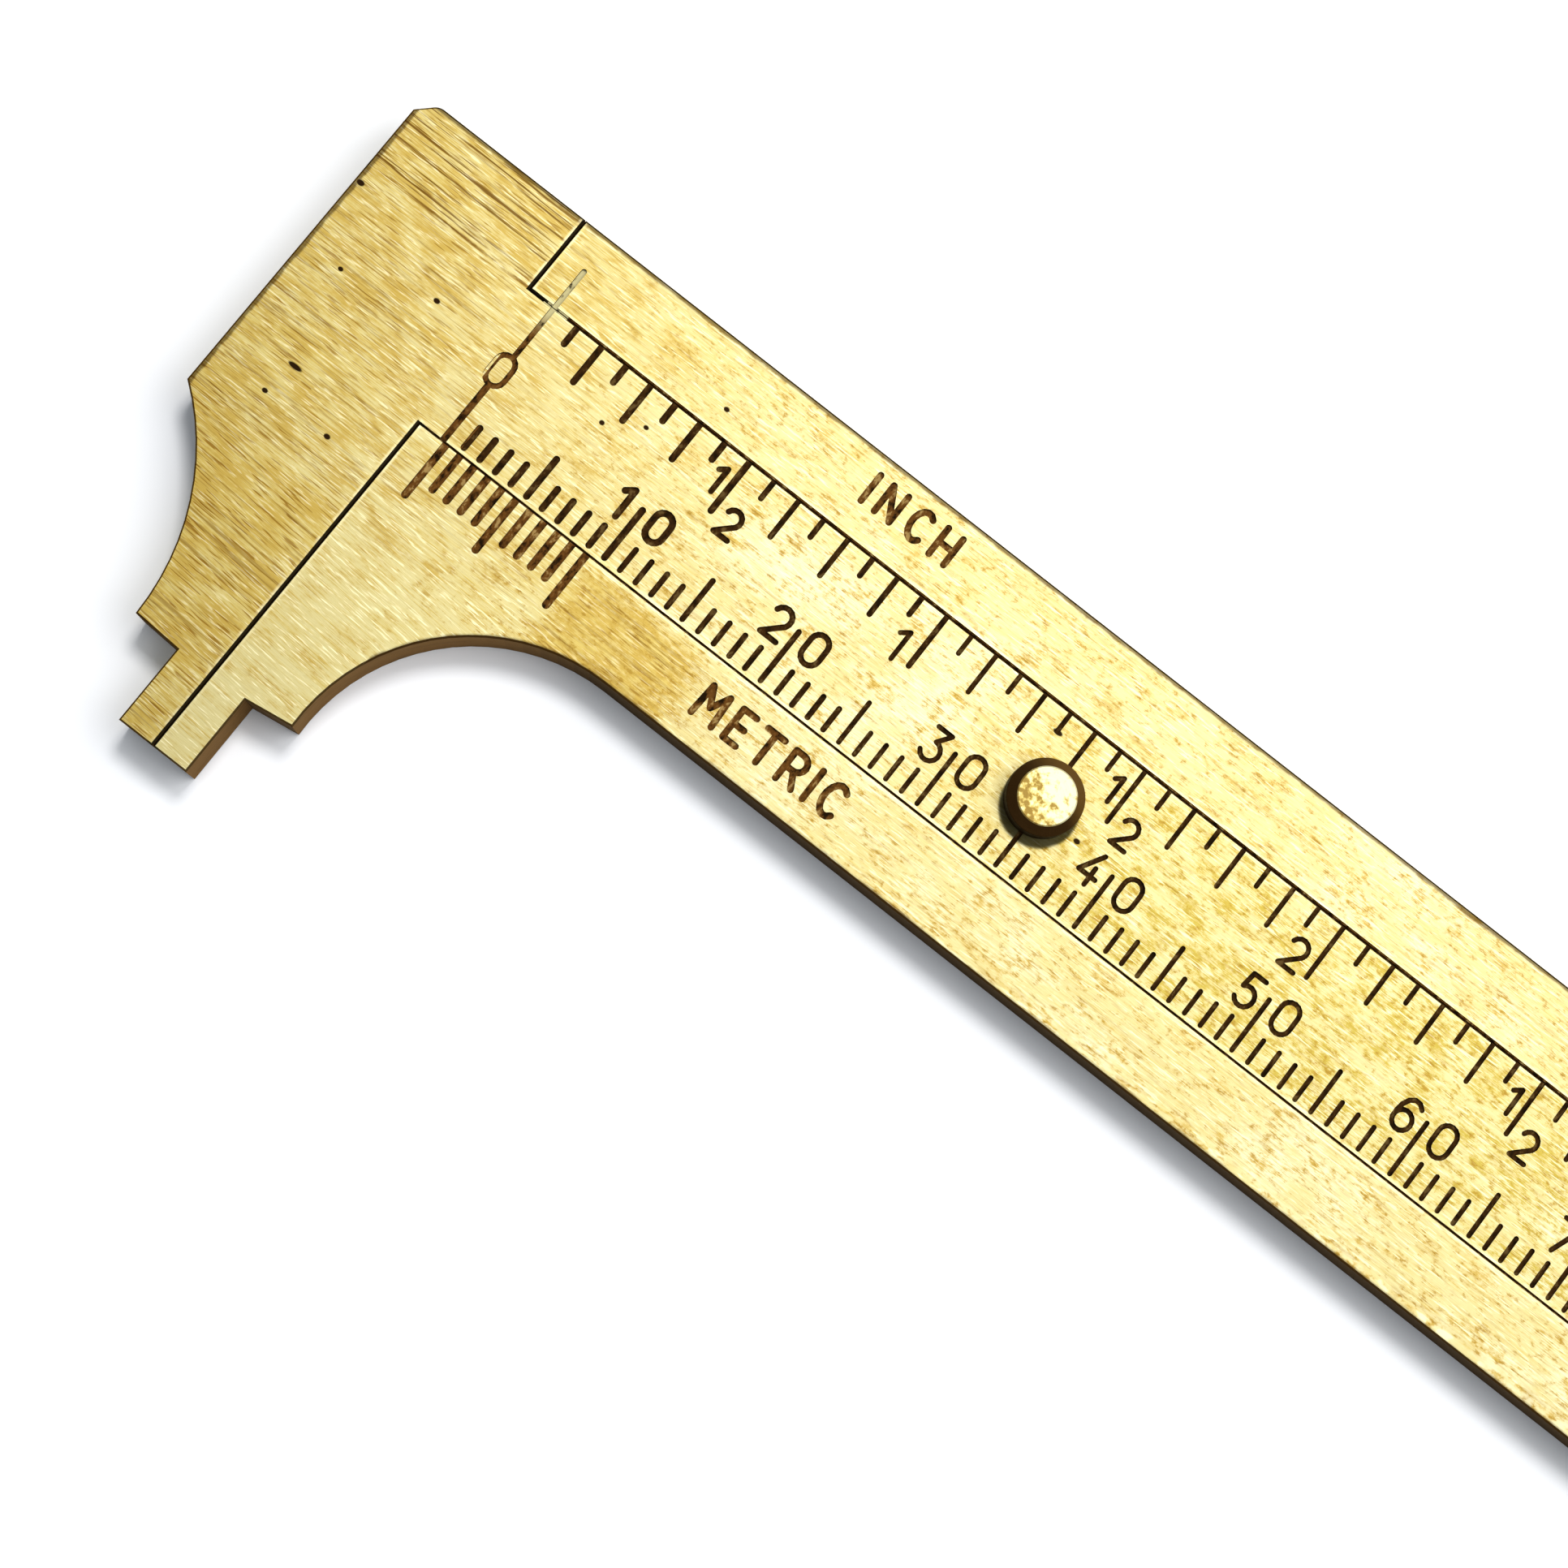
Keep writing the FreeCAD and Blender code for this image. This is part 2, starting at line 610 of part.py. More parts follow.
def turned_body(label, place_x, place_y, profile):
    """A turned piece on its own upright axis, from (radius, height) corners."""
    body = new_body(label)
    body.setExpression("Placement.Base.x", place_x)
    body.setExpression("Placement.Base.y", place_y)
    sketch = outline(new_sketch(body, label + "_profile", "XZ_Plane"), profile)
    shape = body.newObject("PartDesign::Revolution", label + "_turned")
    shape.Profile = sketch
    shape.ReferenceAxis = (sketch, ["V_Axis"])
    shape.Angle = 360
    return body


def thumb_knob():
    """Turned knob: bevelled head on the face, shank spread into the tongue's back."""
    under = "sizes.channel_floor + sizes.running_gap"
    top = "sizes.plate_depth + sizes.knob_height"
    return turned_body("thumb_knob", "sizes.knob_place", "0", [
        ("0", under),
        ("sizes.rivet_radius", under),
        ("sizes.shank_radius", under + " + sizes.rivet_radius - sizes.shank_radius"),
        ("sizes.shank_radius", "sizes.plate_depth"),
        ("sizes.knob_radius", "sizes.plate_depth"),
        ("sizes.knob_radius", top + " - sizes.knob_bevel"),
        ("sizes.knob_radius - sizes.knob_bevel", top),
        ("0", top),
    ])


def stop_pin():
    """Pin pressed through the body's back, standing in the tongue's stop groove."""
    return turned_body("stop_pin", "sizes.pin_place", "sizes.pin_offset", [
        ("0", "0"),
        ("sizes.pin_radius", "0"),
        ("sizes.pin_radius", "sizes.pin_top"),
        ("0", "sizes.pin_top"),
    ])


def spring_rivet():
    """Small rivet that holds the spring's tab to the tongue."""
    tab = "sizes.recess_roof - sizes.spring_thick"
    return turned_body("spring_rivet", "sizes.tack_place", "0", [
        ("0", tab + " - sizes.tack_head_depth"),
        ("sizes.tack_head", tab + " - sizes.tack_head_depth"),
        ("sizes.tack_head", tab),
        ("sizes.tack_radius", tab),
        ("sizes.tack_radius", "sizes.tack_top"),
        ("0", "sizes.tack_top"),
    ])


def friction_spring():
    """Bowed strip under the tongue's far end, which steadies it against the channel."""
    body = new_body("friction_spring")
    roof = "sizes.recess_roof"
    tab = "sizes.recess_roof - sizes.spring_thick"
    half_bow = "(sizes.spring_end - sizes.spring_bow) / 2"
    inner = "((%s) ^ 2 + sizes.spring_sag ^ 2) / (2 * sizes.spring_sag)" % half_bow
    strip = outline(new_sketch(body, "spring_profile", "XZ_Plane"), [
        ("sizes.spring_tab", tab),
        ("sizes.spring_bow", tab),
        ("sizes.spring_end", tab, inner, 1),
        ("sizes.spring_end", roof),
        ("sizes.spring_bow", roof, inner, -1),
        ("sizes.spring_tab", roof),
    ])
    pad(body, strip, "strip", "2 * sizes.spring_half", symmetric=True)
    hole = circle(new_sketch(body, "spring_hole_outline", height=tab),
                  "sizes.tack_place", "0", "sizes.tack_radius")
    pocket(body, hole, "spring_hole", "sizes.spring_thick", upwards=True)
    return body


pieces = [make() for make in (main_body, slide_bar, thumb_knob, stop_pin, friction_spring, spring_rivet)]
doc.recompute()

failed = [item.Name for item in doc.Objects if "Invalid" in item.State or "Error" in item.State]
if failed:
    raise RuntimeError("failed features: " + ", ".join(failed))
for piece in pieces:
    if piece.Shape.isNull() or not piece.Shape.isValid() or len(piece.Shape.Solids) != 1:
        raise RuntimeError(piece.Label + " is not one valid solid")

os.makedirs("parts", exist_ok=True)
for piece in pieces:
    piece.Shape.exportStep("parts/%s.step" % piece.Label)
    print("%s: %.1f mm3" % (piece.Label, piece.Shape.Volume))
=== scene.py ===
import math
import bpy
import bmesh
from mathutils import Matrix, Vector


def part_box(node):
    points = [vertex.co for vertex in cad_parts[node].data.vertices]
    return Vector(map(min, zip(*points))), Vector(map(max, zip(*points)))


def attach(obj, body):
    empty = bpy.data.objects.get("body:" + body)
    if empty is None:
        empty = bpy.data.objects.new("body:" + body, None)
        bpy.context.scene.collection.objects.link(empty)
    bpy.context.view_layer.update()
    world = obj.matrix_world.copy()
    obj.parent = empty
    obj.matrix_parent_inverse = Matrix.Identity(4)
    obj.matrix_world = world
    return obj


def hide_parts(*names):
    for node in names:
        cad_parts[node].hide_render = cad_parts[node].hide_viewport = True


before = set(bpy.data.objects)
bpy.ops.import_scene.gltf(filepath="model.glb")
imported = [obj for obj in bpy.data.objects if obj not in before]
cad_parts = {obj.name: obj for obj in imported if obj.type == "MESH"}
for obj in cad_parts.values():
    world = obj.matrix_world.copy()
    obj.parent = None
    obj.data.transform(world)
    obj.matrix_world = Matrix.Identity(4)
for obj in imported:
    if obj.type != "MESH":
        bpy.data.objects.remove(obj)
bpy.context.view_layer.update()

mm = 0.001
bodyLow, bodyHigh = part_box("main_body")
knobLow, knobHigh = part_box("thumb_knob")
face = bodyHigh.z / mm              # graduated face, in millimetres over the back
scene = bpy.context.scene
print("frame loaded, face at", round(face, 3), "mm")


class Strand:                       # one socket that can be used in an expression
    def __init__(self, finish, socket):
        self.finish = finish
        self.socket = socket

    def sum(self, operation, *others):
        return self.finish.maths(operation, self, *others)

    def __add__(self, other):
        return self.sum("ADD", other)

    def __radd__(self, other):
        return self.sum("ADD", other)

    def __sub__(self, other):
        return self.sum("SUBTRACT", other)

    def __rsub__(self, other):
        return self.finish.maths("SUBTRACT", other, self)

    def __mul__(self, other):
        return self.sum("MULTIPLY", other)

    def __rmul__(self, other):
        return self.sum("MULTIPLY", other)

    def __gt__(self, other):
        return self.sum("GREATER_THAN", other)

    def __lt__(self, other):
        return self.sum("LESS_THAN", other)


class Finish:                       # a material and its node tree
    def __init__(self, name):
        self.material = bpy.data.materials.new(name)
        self.material.use_nodes = True
        self.tree = self.material.node_tree
        self.tree.nodes.clear()
        self.output = self.tree.nodes.new("ShaderNodeOutputMaterial")
        self.shader = self.tree.nodes.new("ShaderNodeBsdfPrincipled")
        self.tree.links.new(self.shader.outputs[0], self.output.inputs[0])

    def feed(self, socket, value):
        if isinstance(value, Strand):
            self.tree.links.new(value.socket, socket)
        else:
            socket.default_value = value

    def node(self, kind, settings, sockets, output=0):
        made = self.tree.nodes.new(kind)
        for name, value in settings.items():
            setattr(made, name, value)
        for name, value in sockets.items():
            self.feed(made.inputs[name], value)
        return Strand(self, made.outputs[output])

    def maths(self, operation, *values):
        return self.node("ShaderNodeMath", {"operation": operation}, dict(enumerate(values)))

    def mix(self, factor, first, second):   # colours, by number because names repeat
        return self.node("ShaderNodeMix", {"data_type": "RGBA", "clamp_factor": True},
                         {0: factor, 6: first, 7: second}, 2)

    def step(self, value, low, high):       # smooth rise from 0 at low to 1 at high
        return self.node("ShaderNodeMapRange", {"interpolation_type": "SMOOTHSTEP"},
                         {"Value": value, "From Min": low, "From Max": high})

    def vector(self, x, y, z):
        return self.node("ShaderNodeCombineXYZ", {}, {0: x, 1: y, 2: z})

    def noise(self, vector, detail=2.0, roughness=0.5):
        return self.node("ShaderNodeTexNoise", {"noise_dimensions": "3D"},
                         {"Vector": vector, "Scale": 1.0, "Detail": detail,
                          "Roughness": roughness})

    def place(self):                # x, y and z in millimetres
        point = self.node("ShaderNodeTexCoord", {}, {}, 3)
        split = self.tree.nodes.new("ShaderNodeSeparateXYZ")
        self.feed(split.inputs[0], point)
        return [Strand(self, output) * 1000 for output in split.outputs]

    def facing(self):               # x, y and z of the bare surface's normal
        geometry = self.tree.nodes.new("ShaderNodeNewGeometry")
        split = self.tree.nodes.new("ShaderNodeSeparateXYZ")
        self.feed(split.inputs[0], Strand(self, geometry.outputs["True Normal"]))
        return [Strand(self, output) for output in split.outputs]

    def near(self, value, middle, half, soft):  # 1 within half of the middle, 0 past soft more
        return 1 - self.step((value - middle).sum("ABSOLUTE"), half, half + soft)

    def finish(self, colour, roughness, bump=None, strength=0.3, depth=0.00001, **fixed):
        self.feed(self.shader.inputs["Base Color"], colour)
        self.feed(self.shader.inputs["Roughness"], roughness)
        for name, value in fixed.items():
            self.shader.inputs[name.replace("_", " ")].default_value = value
        if bump is not None:
            normal = self.node("ShaderNodeBump", {},
                               {"Strength": strength, "Distance": depth, "Height": bump})
            self.feed(self.shader.inputs["Normal"], normal)
        return self.material


brass = {
    "pale": (0.59, 0.515, 0.25, 1),
    "gold": (0.53, 0.405, 0.113, 1),
    "deep": (0.43, 0.28, 0.048, 1),
    "moss": (0.43, 0.325, 0.052, 1),
    "shine": (0.78, 0.72, 0.44, 1),
    "polishAndSheen": (0.73, 0.72, 0.52, 1),
    "dash": (0.29, 0.155, 0.022, 1),
    "fleck": (0.34, 0.205, 0.032, 1),
    "tarnish": (0.19, 0.090, 0.012, 1),
    # painted light and shade on the walls: lit brass where they face the lamps, half-lit brown
    # facing +X, near black facing away
    "litWall": (0.60, 0.46, 0.16, 1),
    "halfLitWall": (0.15, 0.075, 0.022, 1),
    "shadedWall": (0.008, 0.004, 0.0015, 1),
    "edge": (0.055, 0.025, 0.006, 1),
    "knobShadow": (0.035, 0.028, 0.008, 1),    # painted shadow of the knob on the tongue
    "gleam": (0.85, 0.66, 0.34, 1),     # tint of the grazing reflections
    "seam": (0.007, 0.004, 0.002, 1),
    "lowerSeam": (0.16, 0.09, 0.025, 1),
    "fill": (0.010, 0.004, 0.001, 1),
    "wornFill": (0.13, 0.050, 0.009, 1),
    "rubbed": (0.50, 0.33, 0.11, 1),
    "pit": (0.02, 0.009, 0.003, 1),
    "roughness": 0.56,
    "jawLean": 0.06,                # how far the brushing leans on the jaws
    "railEdge": 9.05,
    "sweepCentre": 13.95,           # end of the fixed jaw's concave edge, along the rule
    "sweepRadius": 10.75,
    "sweepStart": 4,                # left of here the fixed jaw's edge stays clean
    "farEnd": 90,                   # the plain end wall is past here
    # offset of the painted knob shadow from the knob's middle, mostly towards -Y
    "knobShadowShift": (0.12, -0.42),
    "raggedness": 0.3,
    "faceDepth": 0.3,               # paint on the face goes no deeper than this
    "markDepths": (0.02, 0.17),     # a mark's fill starts and ends this far under the face
    "pits": [(-11.64, 3.38, 0.24, 0.17), (-9.6, -0.75, 0.16, 0.13), (-4.8, 1.0, 0.2, 0.15),
             (-8.2, -6.1, 0.45, 0.15), (-4.7, -7.9, 0.2, 0.15), (-8.6, -8.0, 0.18, 0.14),
             (5.6, 1.3, 0.16, 0.14), (7.5, 2.5, 0.16, 0.13), (10.1, 5.8, 0.18, 0.14),
             (33.4, 3.2, 0.3, 0.15), (37.5, -0.6, 0.2, 0.15)],
}

patterns = {                        # scale along x, y and z, shift across, detail, roughness
    "longGrain": (0.12, 9, 9, 0, 3, 0.75),
    "fineGrain": (0.8, 17, 15, 0, 2, 0.75),
    "mottle": (0.55, 0.95, 1, 0, 5, 0.65),
    "cloud": (0.12, 0.2, 0.2, 0, 2, 0.5),
    "dashes": (0.62, 10, 6, 31, 1, 0.6),
    "glints": (0.7, 9, 6, 77, 2, 0.65),
    "scratches": (0.10, 5.5, 4, 13, 3, 0.7),
    "specks": (2.1, 3.4, 1, 0, 3, 0.7),
    "wallStain": (0.4, 0.4, 4, 0, 4, 0.65),
    "wallLines": (0.25, 0.25, 16, 0, 2, 0.7),
    "fillWear": (2.6, 1.6, 1, 0, 3, 0.6),
}

weights = {
    "tone": (0.55, 0.40, 0.35, 0.25, 0.22),     # long and fine grain, mottle, cloud, warmth
    "golden": (0.42, 0.32, 0.26, 0.07, 0.03),   # mottle, flecks, fine grain, warmth, far tongue
    "goldenShare": (0.62, 0.05, 0.33),          # everywhere, warmth, far tongue
    "dark": (0.2, 0.75, 0.2, 0.25),             # everywhere, handled and shaded, worn and shaded rail, golden
    "streak": (0.6, 0.5, 0.15, 0.08),           # scraped band, handled and shaded, worn and shaded rail, everywhere
    "height": (0.5, 0.8, -0.4),                 # long and fine grain, dashes
    "rough": (0.12, -0.06, 0.2),                # streaks, rubbed lines with painted highlight, dull fill and walls
}

ramps = {                           # where something starts to show, and where it is full
    "tone": (0.66, 0.98),
    "golden": (0.478, 0.595),
    "specks": (0.55, 0.68),
    "polishAndSheen": (0.46, 0.62),
    "glints": (0.57, 0.66),
    "dashes": (0.59, 0.66),
    "scratches": (0.53, 0.62),
    "rubbedAndSheenParts": (0.40, 0.60),
    "tracedParts": (0.33, 0.52),
    "wallStain": (0.46, 0.74),
    "wornFill": (0.34, 0.54),
    "rubbedFill": (0.54, 0.66),
    "polishedFill": (0.30, 0.48),
    "pit": (0.5, 1.2),              # in pit sizes
    "head": (1.5, 1.7),             # from here on down, in millimetres: left of zero
    "handledAndShaded": (-5, 9),
    "rule": (-2, 9),                # right of zero
    "polishAndSheenRule": (8, 18),
    "farTongue": (24, 42),
    "traced": (-10.5, -8),
    "jaws": (8, 12),                # below the centre line
    "lowerRail": (4.4, 5.5),
    "scrapedBand": (4.3, 4.5),      # above it
    "topEdge": (8.7, 8.9),
    "zeroLineFoot": (-4.4, -4.2),
    "zeroLineWear": (2.6, 4.2),
    "rails": (4.4, 4.6),            # on either side of it
    "knobShadow": (1.85, 2.05),        # from the middle of the painted knob shadow
    "railEdgeDark": (8.88, 9.03),
    "headEdgeDark": (11.80, 11.94),
    "sweepEdgeDark": (-0.1, 0.08),
    "wallTilt": (0.2, 0.45),        # parts of the surface's normal from here on down
    "brokenTilt": (0.3, 0.5),
    "flatTilt": (0.9, 0.97),
    "topTilt": (0.5, 0.9),
    "floorTilt": (0.4, 0.6),
    "rightTilt": (-0.2, 0.7),
    "backTilt": (-0.3, 0.3),
    "endTilt": (0.5, 0.8),
}

bands = {                           # middle, half width and softness, in millimetres
    "tongue": (0, 4.3, 0.2),
    "wornAndShadedRail": (13.5, 2.0, 3.0),
    "jawRubAndSheen": (-1.575, 0.16, 0.16),
    "seamRub": (4.445, 0.16, 0.14),
    "seamTrace": (4.465, 0.04, 0.07),
    "secondTrace": (4.78, 0.02, 0.06),
    "jawEdge": (-1.575, 0.3, 0.1),
    "upperSeamEdge": (4.445, 0.3, 0.1),
    "lowerSeamEdge": (-4.445, 0.3, 0.1),
    "zeroLine": (0, 1.0, 0.3),
}


def pattern(fin, name, x, y, z):    # one of the patterns above
    alongX, alongY, alongZ, shift, detail, roughness = patterns[name]
    spot = fin.vector(x * alongX, y * alongY + shift, z * alongZ)
    return fin.noise(spot, detail=detail, roughness=roughness)


def blend(name, *parts):            # the parts added up by the weights above
    total = 0
    for part, weight in zip(parts, weights[name]):
        total = total + part * weight
    return total


def ramp(fin, name, value):         # 0 before the ramp above, 1 past it
    return fin.step(value, *ramps[name])


def band(fin, name, value):         # 1 inside the band above, 0 outside
    return fin.near(value, *bands[name])


def brushing(fin, x, y, z):         # colour, streaks, height and mottles of the brushed face
    head = ramp(fin, "head", x * -1)
    jaw = ramp(fin, "jaws", y * -1)
    scraped = ramp(fin, "scrapedBand", y) * head
    onRule = ramp(fin, "rule", x)
    farTongue = band(fin, "tongue", y) * ramp(fin, "farTongue", x)
    across = y + x * jaw * brass["jawLean"]
    longGrain = pattern(fin, "longGrain", x, across, z)
    fineGrain = pattern(fin, "fineGrain", x, across, z)
    mottle = pattern(fin, "mottle", x, y, z)
    cloud = pattern(fin, "cloud", x, y, z)
    dashes = ramp(fin, "dashes", pattern(fin, "dashes", x, across, z))
    glints = ramp(fin, "glints", pattern(fin, "glints", x, across, z))
    scratches = ramp(fin, "scratches", pattern(fin, "scratches", x, across, z))
    specks = pattern(fin, "specks", x, y, z)
    # warmer, darker brass on the head, the jaws and the lower rail near 13.5 mm: partly handling
    # and wear, partly painted shade
    handledAndShaded = ramp(fin, "handledAndShaded", x * -1) * 0.5 + jaw * (head * 0.65 - 0.3)
    worn = band(fin, "wornAndShadedRail", x) * ramp(fin, "lowerRail", y * -1) * 1.1
    warm = handledAndShaded + worn
    tone = ramp(fin, "tone", blend("tone", longGrain, fineGrain, mottle, cloud, warm))
    colour = fin.mix(tone, brass["pale"], brass["gold"])
    fleck = specks * onRule + longGrain * (1 - onRule)
    golden = ramp(fin, "golden", blend("golden", mottle, fleck, fineGrain, warm, farTongue))
    stained = fin.mix(farTongue, brass["deep"], brass["moss"])
    colour = fin.mix(golden * blend("goldenShare", 1, warm, farTongue), colour, stained)
    flecks = ramp(fin, "specks", specks) * (golden * 0.6 + 0.25) * (onRule * 0.85 + 0.15)
    colour = fin.mix(flecks, colour, brass["fleck"])
    # partly polish, partly painted highlight: near-white patches on the rule from 8 mm
    # rightwards
    polishAndSheen = ramp(fin, "polishAndSheen", (cloud + mottle) * 0.5) * ramp(fin, "polishAndSheenRule", x)
    colour = fin.mix(polishAndSheen * (1 - golden) * 0.55, colour, brass["polishAndSheen"])
    # painted glints: pale bright streaks along the brushing
    colour = fin.mix(glints * (1 - warm * 0.5) * 0.8, colour, brass["shine"])
    dark = dashes * blend("dark", 1, handledAndShaded, worn, golden)
    colour = fin.mix(dark, colour, brass["dash"])
    streak = scratches * blend("streak", scraped, handledAndShaded, worn, 1)
    colour = fin.mix(streak, colour, brass["tarnish"])
    return colour, streak + dark * 0.5, blend("height", longGrain, fineGrain, dark), mottle


def pitted(fin, x, y):              # 1 in the small pits of the head and the tongue
    total = 0
    for left, low, long, wide in brass["pits"]:
        dx = (x - left) * (1 / long)
        dy = (y - low) * (1 / wide)
        total = total + (1 - ramp(fin, "pit", dx * dx + dy * dy))
    return total


def paintedKnobShadow(fin, x, y, mottle):   # 1 in the painted shadow beside the knob
    shiftX, shiftY = brass["knobShadowShift"]
    dx = x - ((knobLow.x + knobHigh.x) / 2 / mm + shiftX)
    dy = y - shiftY
    toMiddle = fin.maths("SQRT", dx * dx + dy * dy)
    return 1 - ramp(fin, "knobShadow", toMiddle - mottle * 0.2)


def shadedEdges(fin, x, y, mottle):  # 1 in the painted shade beside the outer edges, with a ragged inner side
    ragged = mottle * brass["raggedness"]
    top = ramp(fin, "railEdgeDark", y + ragged)
    left = ramp(fin, "headEdgeDark", ragged - x)
    dx = fin.maths("MINIMUM", x - brass["sweepCentre"], 0)
    dy = y + (brass["railEdge"] + brass["sweepRadius"])
    toSweep = fin.maths("SQRT", dx * dx + dy * dy) - brass["sweepRadius"]
    low = (1 - ramp(fin, "sweepEdgeDark", toSweep - ragged)) * (x > brass["sweepStart"])
    return fin.maths("MAXIMUM", fin.maths("MAXIMUM", top, left), low)


def seamLines(fin, colour, x, y, mottle):   # beside the jaw line and the seams, and on the head; the bright lines beside them are partly edge wear, partly painted highlight
    head = ramp(fin, "head", x * -1)
    apart = y.sum("ABSOLUTE")
    rubbed = band(fin, "jawRubAndSheen", x) * ramp(fin, "rails", apart)
    rubbed = rubbed + band(fin, "seamRub", apart) * (1 - head)
    colour = fin.mix(rubbed * ramp(fin, "rubbedAndSheenParts", mottle) * 0.6, colour, brass["shine"])
    traced = band(fin, "seamTrace", y) + band(fin, "secondTrace", y) * 0.5
    traced = traced * head * ramp(fin, "tracedParts", mottle) * ramp(fin, "traced", x)
    return fin.mix(traced * 0.85, colour, brass["tarnish"]), rubbed


# painted shade and light: a wall's colour follows which way it faces the lamps, with stains on
# top
def wallColours(fin, lit, sideX, x, y, z):
    colour = fin.mix(ramp(fin, "rightTilt", sideX), brass["shadedWall"], brass["halfLitWall"])
    colour = fin.mix(lit, colour, brass["litWall"])
    stain = ramp(fin, "wallStain", pattern(fin, "wallStain", x, y, z)) * (0.55 - lit * 0.4)
    return fin.mix(stain, colour, brass["edge"])


def brokenEdges(fin, x, y):         # the narrow slopes between a wall and a face, painted dark as shade
    upper = band(fin, "upperSeamEdge", y) + band(fin, "jawEdge", x)
    upper = upper + ramp(fin, "topEdge", y) * 0.7
    lower = band(fin, "lowerSeamEdge", y) * (x > -1)
    colour = fin.mix(upper, brass["edge"], brass["seam"])
    return fin.mix(lower, colour, brass["lowerSeam"])


def engraved(fin, colour, x, y, z, up, markRegion, wornMarks):
    left, right, low, high = markRegion
    shallow, depth = brass["markDepths"]
    inside = (x > left) * (x < right) * (y > low) * (y < high)
    sunk = (z < face - shallow) * (z > face - depth) * inside
    worn = pattern(fin, "fillWear", x, y, z)
    floor = ramp(fin, "floorTilt", up)
    zeroLine = band(fin, "zeroLine", x) * (x < 0.9) * ramp(fin, "zeroLineFoot", y)
    polished = ramp(fin, "zeroLineWear", y) * zeroLine
    wear = ramp(fin, "wornFill", worn) * floor * fin.maths("MAXIMUM", zeroLine, wornMarks)
    fill = fin.mix(wear, brass["fill"], brass["wornFill"])
    pale = ramp(fin, "rubbedFill", worn) * wornMarks * 0.6
    pale = pale + ramp(fin, "polishedFill", worn) * polished
    fill = fin.mix(pale * floor, fill, fin.mix(polished, brass["rubbed"], brass["pale"]))
    return fin.mix(sunk, colour, fill), sunk


def brushedBrass(name, markRegion, wornMarks):
    fin = Finish(name)
    x, y, z = fin.place()
    sideX, sideY, up = fin.facing()
    flat = up.sum("ABSOLUTE")
    onFace = z > face - brass["faceDepth"]      # not on the channel's floor
    colour, streak, height, mottle = brushing(fin, x, y, z)
    # painted shade along the outer edges of the face
    colour = fin.mix(shadedEdges(fin, x, y, mottle) * 0.75, colour, brass["edge"])
    colour, rubbed = seamLines(fin, colour, x, y, mottle)
    pits = pitted(fin, x, y) * ramp(fin, "flatTilt", up) * onFace
    colour = fin.mix(pits, colour, brass["pit"])
    # painted shadow of the knob, darkening the tongue below it
    knobShadow = paintedKnobShadow(fin, x, y, mottle) * ramp(fin, "topTilt", up) * onFace
    colour = fin.mix(knobShadow * 0.9, colour, brass["knobShadow"])
    wall = 1 - ramp(fin, "wallTilt", flat)
    # walls facing the lamps are painted lit, the rest painted in shade
    lit = ramp(fin, "backTilt", sideY - sideX * 0.5)
    farEnd = (x > brass["farEnd"]) * ramp(fin, "endTilt", sideX)
    lit = fin.maths("MAXIMUM", lit, farEnd)
    colour = fin.mix(wall, colour, wallColours(fin, lit, sideX, x, y, z))
    # painted shade on the chamfers between walls and faces
    broken = ramp(fin, "brokenTilt", flat) * (1 - ramp(fin, "flatTilt", flat))
    colour = fin.mix(broken * 0.95, colour, brokenEdges(fin, x, y))
    colour, sunk = engraved(fin, colour, x, y, z, up, markRegion, wornMarks)
    dull = fin.maths("MAXIMUM", fin.maths("MAXIMUM", sunk, knobShadow), wall * (1 - lit) * 0.5)
    fin.feed(fin.shader.inputs["Metallic"], 1 - dull)
    lines = pattern(fin, "wallLines", x, y, z)
    rough = brass["roughness"] + blend("rough", streak, rubbed, dull)
    rough = rough + wall * lit * (lines * 0.3 - 0.38)
    height = height * (1 - wall) + lines * wall * 0.8 - pits
    return fin.finish(colour, rough, height, strength=0.35, depth=0.00002,
                      Specular_IOR_Level=0.1, Specular_Tint=brass["gleam"])


bodyMarks = (-0.4, 95.0, -8.3, 8.3)
slideMarks = (-0.6, 95.0, -4.6, 4.6)
bodyBrass = brushedBrass("bodyBrass", bodyMarks, 1.0)
slideBrass = brushedBrass("slideBrass", slideMarks, 0.25)


def dress(node, material):          # a CAD node keeps its mesh and takes a better material
    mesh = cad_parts[node].data
    for index in range(len(mesh.materials)):
        mesh.materials[index] = material
    if not mesh.materials:
        mesh.materials.append(material)


dress("main_body", bodyBrass)
dress("slide_bar", slideBrass)
print("brass ready")


knob = {
    "segments": 96,
    "bevel": 0.5,
    "lip": 0.06,                    # rounding of the foot's corner
    "shank": 0.8,
    "rivet": 1.3,                   # how far the shank is spread into the back of the tongue
    "rivetHeight": 0.5,
    "softenings": (0.05, 0.03, 0.02, 0.04),     # small steps that soften the bevel's two ends
    "top": (0.74, 0.70, 0.42, 1),
    "stain": (0.32, 0.19, 0.04, 1),
    "rim": (0.055, 0.026, 0.007, 1),
    "rimLit": (0.15, 0.078, 0.018, 1),
    "side": (0.02, 0.010, 0.004, 1),
    "roughness": 0.52,
    "turningScale": 14,
    "mottleScale": 2.2,
    "mottleShift": 5,
    "stainedSide": (-0.9, 1.2),     # ramps across the top, towards its lower left
    "goldenParts": (0.5, 0.70),
    "stainedParts": (0.60, 0.70),
    "litSide": (0.2, 2.0),
    "topTilt": (0.85, 0.97),
    "bevelTilt": (0.25, 0.5),
}


